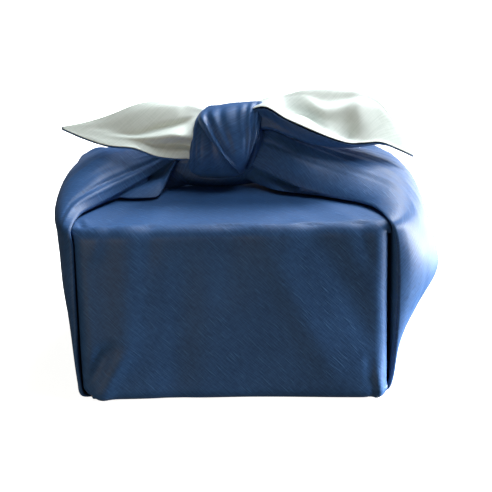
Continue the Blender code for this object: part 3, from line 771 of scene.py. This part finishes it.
leftTail = {
    "facing": -1, "flat": ((0.06, 0.13), 0.0055),
    "face": [
        [(-13, -1, 166), (-13, 0, 169), (-13, 1, 173), (-13, 3, 178), (-13, 5, 183), (-13, 7, 187)],
        [(-26, -15.4, 158.4), (-26, -11, 163), (-26, -6.5, 170),
         (-26, 0, 179), (-27, 4, 188), (-26, 8.6, 191.8)],
        [(-33, -18.4, 158.6), (-33, -12, 164), (-33, -6, 170.5),
         (-33, -2, 179.5), (-34, 3, 188.5), (-34, 9, 192.8)],
        [(-40, -21, 159.4), (-40, -14, 165), (-40, -8.6, 172),
         (-40, -3.6, 180), (-41, 1.5, 190), (-41, 9.2, 193.5)],
        [(-55, -24, 162.6), (-55, -17, 167), (-55, -12, 172),
         (-55, -6.5, 178.5), (-55, 0, 189.5), (-55, 9.6, 195)],
        [(-70, -24.5, 168.8), (-70, -18, 171), (-70, -14, 174),
         (-70, -8, 179), (-70, 0, 186), (-70, 8.6, 193.5)],
        [(-90, -19, 169.8), (-90, -14, 172), (-90, -10, 174),
         (-90, -4.5, 178), (-89, 0.5, 182), (-88, 6, 187.6)],
        [(-109, -8.6, 173.2), (-109, -5.5, 174.6), (-109, -3.5, 176),
         (-108, -1, 178), (-108, 1.5, 180), (-107, 4.6, 182)],
        [(-125, -0.5, 178.2), (-125.3, 0.2, 178.5), (-125.5, 0.5, 178.9),
         (-125.5, 0.9, 179.2), (-125.4, 1.3, 179.5), (-125, 1.8, 179.8)],
    ],
    "lining": [
        [(-13, -2, 166), (-13, -3, 169), (-13, -1, 173), (-13, 1, 178),
         (-13, 2, 182), (-13, 3, 185), (-13, 4, 187), (-13, 6, 188)],
        [(-25, -15, 158.8), (-25, -15.5, 162.5), (-25, -12.4, 167.5), (-25, -15, 176),
         (-25, -4.5, 184.5), (-26, -1, 188.4), (-26, 3, 192.8), (-26, 8, 192.4)],
        [(-33, -18, 159), (-33, -17.5, 164), (-33, -13, 169), (-33, -20, 176.4),
         (-33, -6.5, 182.6), (-34, -5, 187), (-34, 2, 193.2), (-34, 8.2, 193.6)],
        [(-41, -20.7, 159.9), (-41, -18.5, 165.5), (-41, -15, 170.6), (-41, -21.6, 177.8),
         (-41, -8, 181.2), (-41, -7, 185.6), (-41, 1, 193.6), (-41, 8.5, 194.2)],
        [(-55, -23.5, 163), (-55, -20, 167), (-55, -17.4, 170.6), (-55, -20, 176),
         (-55, -10, 178.8), (-55, -8.4, 183.6), (-55, 1, 193.2), (-55, 9, 195.7)],
        [(-70, -24, 169.2), (-70, -20.5, 171), (-70, -18, 173), (-70, -16.6, 175),
         (-70, -12.2, 176), (-70, -9.4, 180.4), (-70, 0, 189.5), (-70, 8, 194.2)],
        [(-90, -18.5, 170.2), (-90, -16, 171.8), (-90, -13, 173.4), (-90, -10.5, 175),
         (-90, -7.5, 176.8), (-89.5, -4.5, 179), (-89, 0, 183.5), (-88, 5.5, 188.2)],
        [(-109, -8, 173.6), (-109, -6.7, 174.6), (-109, -5.4, 175.5), (-108.5, -4.2, 176.5),
         (-108.5, -2.8, 177.6), (-108, -1.2, 179), (-108, 1.2, 181), (-107, 4, 182.7)],
        [(-125, -0.5, 178.6), (-125.3, -0.1, 178.9), (-125.4, 0.2, 179.1), (-125.5, 0.4, 179.2),
         (-125.5, 0.6, 179.4), (-125.5, 0.9, 179.6), (-125.3, 1.2, 179.9), (-125, 1.5, 180.2)],
    ],
}


def tailRows(table):
    sections = [spline([Vector(p) * mm for p in row], tailShape["across"]) for row in table]
    return lofted(sections, tailShape["along"])


def liningRows(rows, facing):
    # a little off its rows, to clear the face cloth, and just short of its hems
    normals = gridNormals(rows)
    out = []
    for row, ways in zip(rows, normals):
        line = [p + way * (tailShape["apart"] * facing) for p, way in zip(row, ways)]
        total = sum((b - a).length for a, b in zip(line, line[1:]))
        inset = min(tailShape["inset"] / max(total, 1e-6), tailShape["insetMost"])
        count = len(line) - 1
        inner = []
        for j in range(count + 1):
            place = (inset + (1 - 2 * inset) * j / count) * count
            k = min(int(place), count - 1)
            inner.append(line[k].lerp(line[k + 1], place - k))
        out.append(inner)
    return out


for title, tail in (("right", rightTail), ("left", leftTail)):
    rows = tailRows(tail["face"])
    outer = gridPiece(f"{title}TailCloth", rows, flatRows(rows, tailShape["tailRun"], tail["facing"]))
    finishSheet(outer, tailShape["thickness"], "blue_cloth")
    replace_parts(outer, "wrap_cloth")
    inner = liningRows(tailRows(tail["lining"]), tail["facing"])[:-1]
    lining = gridPiece(f"{title}TailLining", inner, flatRows(inner, tailShape["tailRun"], tail["facing"]))
    finishSheet(lining, tailShape["liningThickness"], "pale_lining")
    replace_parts(lining, f"lining_{title}_tail")
    declareSheet(outer)
    declareSheet(lining)
say("tails laid out")

# Knot: flat bands wound round its middle, each with pleats that run along it. Each row gives the
# band's two edges in mm, how far its outer face swells between them, and how far its inner face does.

StrandRow = namedtuple("StrandRow", "left right swell inner")
knot = {
    "middle": (-1, 0, 168), "along": 9, "around": 96, "square": 0.80,
    # the filled middle: its half sizes, and the wave that keeps it from being round
    "coreHalves": (18, 14, 23), "coreWave": 0.03, "waveAcross": 9, "waveUp": 5, "coreUv": 0.1,
}
strands = {
    "knotFront": {
        "rows": [
            StrandRow((-15, 9, 176), (20, 10, 179), 3, 2), StrandRow((-18, 4, 186), (25, 6, 190.5), 3.5, 3),
            StrandRow((-21, -6, 189.8), (27, -2, 195), 4.5, 4),
            StrandRow((-22.5, -16, 187.5), (25.5, -11, 193), 5, 4),
            StrandRow((-19.5, -22, 183), (22.5, -17, 184), 5, 4),
            StrandRow((-14, -25, 175), (21, -20, 176), 4.5, 4),
            StrandRow((-6, -25.5, 164), (17, -21.5, 167), 4, 4),
            StrandRow((2, -23, 154.5), (12.5, -20, 157), 3, 3),
            StrandRow((6, -17, 147), (10, -15, 149), 2, 2),
        ],
        # along is the row above, across is the turn round the band: 0 its right edge, 0.5 its left edge
        "folds": [
            Fold(2.2, 8.2, 0.425, 0.42, 3.0, 1.9), Fold(2.0, 7.8, 0.365, 0.35, 1.9, -2.0),
            Fold(2.2, 6.6, 0.330, 0.31, 1.5, 0.8, 0.01), Fold(1.8, 6.0, 0.292, 0.28, 1.3, -0.9),
            Fold(2.2, 7.0, 0.262, 0.25, 1.4, 0.7, 0.01), Fold(2.0, 5.6, 0.232, 0.22, 1.2, -0.8),
            Fold(2.2, 6.4, 0.205, 0.20, 1.4, 0.7, 0.01), Fold(1.8, 6.8, 0.178, 0.18, 1.3, -1.1, 0.01),
            Fold(2.2, 7.2, 0.152, 0.15, 1.4, 0.9, 0.01), Fold(1.8, 7.6, 0.122, 0.12, 1.5, -1.8, 0.01),
            Fold(2.0, 7.6, 0.094, 0.09, 1.3, 1.3, 0.01), Fold(1.8, 7.0, 0.066, 0.06, 1.2, -1.3),
        ],
    },
    "knotLow": {
        "rows": [
            StrandRow((-21, 5, 188), (-7, -1, 189), 3, 3), StrandRow((-25, -9, 185), (-9, -14, 183), 3.5, 4),
            StrandRow((-27.5, -15, 175), (-6, -19, 171), 4, 4),
            StrandRow((-30, -17, 163), (-1, -19, 159), 4.5, 5),
            StrandRow((-31, -13, 151), (5, -15, 149), 4.5, 5),
            StrandRow((-26, -6, 143), (9, -9, 143.5), 3, 3),
        ],
        "folds": [
            Fold(0.4, 4.8, 0.40, 0.42, 1.8, 1.0), Fold(0.4, 4.6, 0.33, 0.35, 1.6, -1.0),
            Fold(0.6, 4.6, 0.27, 0.29, 2.0, 0.8), Fold(1.0, 4.8, 0.19, 0.24, 1.8, -0.8),
        ],
    },
    "knotRight": {
        "rows": [
            StrandRow((6, 6, 186), (23, 4, 186), 3, 3), StrandRow((8, -6, 181), (24, -7, 180), 4, 4),
            StrandRow((8, -10, 168), (24, -9, 167), 5, 4), StrandRow((6, -9, 156), (20, -8, 153), 5, 4),
            StrandRow((4, -6, 147), (14, -5, 146), 3, 3),
        ],
        "folds": [
            Fold(0.3, 3.8, 0.12, 0.14, 1.6, -0.9), Fold(0.3, 3.8, 0.19, 0.20, 2.0, 0.8),
            Fold(0.3, 3.8, 0.27, 0.26, 1.6, -0.8),
        ],
    },
    "knotBack": {
        "rows": [
            StrandRow((22, -1, 192.5), (-19, -1, 188), 4, 3),
            StrandRow((24, 12, 188), (-22, 12, 185.5), 5, 4),
            StrandRow((22, 18, 171), (-22, 18, 170), 5.5, 4), StrandRow((15, 13, 156), (-18, 13, 156), 5, 4),
            StrandRow((8, 7, 147), (-12, 7, 147), 3, 3),
        ],
        "folds": [
            Fold(0.3, 3.8, 0.08, 0.10, 1.8, -1.1), Fold(0.3, 3.9, 0.14, 0.16, 2.0, 0.9),
            Fold(0.3, 3.8, 0.20, 0.21, 1.6, -1.0), Fold(0.3, 3.9, 0.27, 0.27, 2.2, 0.8),
            Fold(0.3, 3.8, 0.34, 0.33, 1.8, -1.2), Fold(0.3, 3.9, 0.41, 0.39, 2.0, 0.9),
        ],
    },
    "knotFoot": {  # the gathered cloth that the knot sits on
        "rows": [
            StrandRow((-52, -3, 150), (-51, -12, 134.2), 1.5, 2),
            StrandRow((-43, -3, 153), (-42.5, -8, 133.4), 2, 3),
            StrandRow((-33, -6, 156), (-32, -4, 133.6), 2.5, 3),
            StrandRow((-20, -8, 156), (-21, -5, 133.2), 3, 4),
            StrandRow((-6, -9, 153), (-7, -6, 133.2), 3, 4), StrandRow((8, -8, 151), (6, -5, 133.6), 2.5, 4),
            StrandRow((20, -6, 150), (18, -3, 134.4), 1.5, 3),
        ],
        "folds": [
            Fold(0.2, 5.8, 0.36, 0.30, 1.6, 0.9, 0.02), Fold(0.3, 4.6, 0.26, 0.20, 1.5, -0.9, 0.02),
            Fold(0.2, 4.8, 0.14, 0.12, 1.4, 0.8),
        ],
    },
}


def makeStrand(name, strand):
    middle = Vector(knot["middle"]) * mm
    lefts = spline([Vector(row.left) * mm for row in strand["rows"]], knot["along"])
    rights = spline([Vector(row.right) * mm for row in strand["rows"]], knot["along"])
    swells = spline([Vector((row.swell, row.inner, 0)) * mm for row in strand["rows"]], knot["along"])
    rings, flat, run = [], [], 0.0
    before = None
    for i, (left, right, swell) in enumerate(zip(lefts, rights, swells)):
        place, half = (left + right) / 2, (right - left) / 2
        across = half.normalized()
        outward = place - middle
        outward = (outward - across * outward.dot(across)).normalized()
        if before:
            run += (place - before).length
        before = place
        around = math.pi * (half.length + swell.x)
        ring, line = [], []
        for k in range(knot["around"] + 1):
            turn = k / knot["around"]
            cosine, sine = math.cos(math.tau * turn), math.sin(math.tau * turn)
            lift = foldHeight(strand["folds"], i / knot["along"], turn, around / mm)
            wide = math.copysign(abs(cosine) ** knot["square"], cosine)
            thick = math.copysign(abs(sine) ** knot["square"], sine) * (swell.x if sine > 0 else swell.y)
            if k < knot["around"]:
                ring.append(place + half * wide + outward * (thick + lift))
            line.append((run, turn * around))
        rings.append(ring)
        flat.append(line)
    return tubePiece(name, rings, flat, "blue_cloth")


def makeCore():
    # the filled middle, seen only between the bands
    deselectAll()
    bpy.ops.mesh.primitive_uv_sphere_add(segments=48, ring_count=32, radius=1.0)
    core = bpy.context.object
    core.name = core.data.name = "knotCore"
    for vertex in core.data.vertices:
        turn = vertex.co.x * knot["waveAcross"] + vertex.co.z * knot["waveUp"]
        swell = 1 + knot["coreWave"] * math.sin(turn)
        parts = zip(knot["middle"], vertex.co, knot["coreHalves"])
        vertex.co = Vector([(middle + way * half * swell) * mm for middle, way, half in parts])
    for loop in core.data.uv_layers.active.data:
        loop.uv = loop.uv * knot["coreUv"]
    return dress(core, "blue_cloth")


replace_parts(makeCore(), "wrap_cloth")
for title, strand in strands.items():
    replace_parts(makeStrand(title, strand), "wrap_cloth")
say("knot tied")

# Card box inside, which keeps its CAD shape

card = cardMaterial()
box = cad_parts["gift_box"]
box.data.materials.clear()
box.data.materials.append(card)

# Floor, light and camera

stage = {
    "floorSize": 12.0, "floorDrop": 0.2 * mm, "floorGlow": 1.05, "floorRoughness": 0.9,
    "floorDark": "#F2F2F0", "floorPale": "#F7F7F5", "floorCloud": 3.0,
    "air": "#FFF4EA", "airStrength": 0.065, "backdrop": "#FFFFFF", "backdropStrength": 0.97,
    # dark cards, each with its place, its size along y and z, and whether it casts a shadow
    "cardColour": "#101012",
    "cards": [((-0.40, 0.30, 0.25), (1.3, 0.5), False), ((0.50, 0.05, 0.335), (0.9, 0.40), True)],
}
Lamp = namedtuple("Lamp", "at aim size power colour")
lights = {
    "windowKey": Lamp((0.95, 0.85, 1.22), (0, 0, 0.12), (0.75, 0.75), 42, "#FFFFFF"),
    "windowRight": Lamp((1.45, 0.06, 0.16), (0, 0, 0.10), (1.00, 0.70), 165, "#FAFCFF"),
    "tableRight": Lamp((1.00, 0.72, 0.10), (0.1, 0, 0.07), (1.10, 0.60), 25, "#FFFFFF"),
    "frontFill": Lamp((-0.60, -1.15, 0.05), (0, 0, 0.05), (0.60, 0.10), 3.5, "#FBE6CC"),
    "backSoft": Lamp((0.45, 0.80, 1.35), (0, 0, 0.1), (0.60, 0.60), 10, "#EAF4FF"),
    "topSoft": Lamp((0.55, -0.12, 1.50), (0, 0, 0.1), (0.60, 0.60), 10, "#F2F6FA"),
}
view = {
    "place": (0.0144, -1.0078, 0.4625), "yaw": -0.2402, "pitch": 20.6659, "roll": -1.2804,
    "focalPixels": 1400.0, "imageWidth": 492, "sensor": 36.0,
}


def makeFloor():
    deselectAll()
    bpy.ops.mesh.primitive_plane_add(size=stage["floorSize"], location=(0, 0, -stage["floorDrop"]))
    floor = bpy.context.object
    floor.name = "studioFloor"
    made, tree, shader = newMaterial("matt pale studio floor")
    place = addNode(tree, "ShaderNodeTexCoord")
    cloud = addNode(tree, "ShaderNodeTexNoise", {"Scale": stage["floorCloud"], "Detail": 2.0},
                    {"Vector": place.outputs["Object"]})
    tone = addNode(tree, "ShaderNodeValToRGB", links={"Fac": cloud.outputs["Fac"]})
    rampColours(tone, [(0.3, hexToLinear(stage["floorDark"])), (0.7, hexToLinear(stage["floorPale"]))])
    tree.links.new(tone.outputs["Color"], shader.inputs["Base Color"])
    tree.links.new(tone.outputs["Color"], shader.inputs["Emission Color"])
    shader.inputs["Emission Strength"].default_value = stage["floorGlow"]
    shader.inputs["Roughness"].default_value = stage["floorRoughness"]
    floor.data.materials.append(made)
    floor.visible_diffuse = False
    floor.visible_glossy = False


def makeCards():
    # dark cards keep the pale room off the left side and the right window off the top, as in a studio
    made, _, shader = newMaterial("black flocked studio card")
    shader.inputs["Base Color"].default_value = hexToLinear(stage["cardColour"])
    shader.inputs["Roughness"].default_value = 1.0
    for place, size, shades in stage["cards"]:
        deselectAll()
        bpy.ops.mesh.primitive_plane_add(size=1.0, location=place, rotation=(math.pi / 2, 0, math.pi / 2))
        shade = bpy.context.object
        shade.name = "studioCard"
        shade.scale = (*size, 1)
        shade.data.materials.append(made)
        shade.visible_camera = False
        shade.visible_shadow = shades


def makeLights():
    for name, light in lights.items():
        deselectAll()
        bpy.ops.object.light_add(type="AREA", location=light.at)
        lamp = bpy.context.object
        lamp.name = name
        lamp.data.shape = "RECTANGLE"
        lamp.data.size, lamp.data.size_y = light.size
        lamp.visible_camera = False
        lamp.data.energy = light.power
        lamp.data.color = hexToLinear(light.colour)[:3]
        way = Vector(light.aim) - Vector(light.at)
        lamp.rotation_euler = way.to_track_quat("-Z", "Y").to_euler()
    world = bpy.data.worlds.new("studio air")
    world.use_nodes = True
    tree = world.node_tree
    air = tree.nodes["Background"]
    air.inputs["Color"].default_value = hexToLinear(stage["air"])
    air.inputs["Strength"].default_value = stage["airStrength"]
    # the camera sees a pale backdrop, and the air lights softly
    backdrop = addNode(tree, "ShaderNodeBackground",
                       {"Color": hexToLinear(stage["backdrop"]), "Strength": stage["backdropStrength"]})
    path = addNode(tree, "ShaderNodeLightPath")
    seen = addNode(tree, "ShaderNodeMixShader",
                   links={0: path.outputs["Is Camera Ray"], 1: air.outputs[0], 2: backdrop.outputs[0]})
    tree.links.new(seen.outputs[0], tree.nodes["World Output"].inputs["Surface"])
    bpy.context.scene.world = world
    bpy.context.scene.view_settings.view_transform = "Standard"


def makeCamera():
    yaw, pitch, roll = (math.radians(view[k]) for k in ("yaw", "pitch", "roll"))
    forward = Vector((math.sin(yaw) * math.cos(pitch), math.cos(yaw) * math.cos(pitch), -math.sin(pitch)))
    right = Vector((math.cos(yaw), -math.sin(yaw), 0))
    up = right.cross(forward)
    rightRolled = math.cos(roll) * right + math.sin(roll) * up
    upRolled = -math.sin(roll) * right + math.cos(roll) * up
    bpy.ops.object.camera_add()
    camera = bpy.context.object
    camera.name = "photoCamera"
    camera.data.sensor_width = view["sensor"]
    camera.data.lens = view["sensor"] * view["focalPixels"] / view["imageWidth"]
    turn = Matrix((rightRolled, upRolled, -forward)).transposed().to_4x4()
    camera.matrix_world = Matrix.Translation(view["place"]) @ turn
    bpy.context.scene.camera = camera


makeFloor()
makeCards()
makeLights()
makeCamera()
say("stage lit")
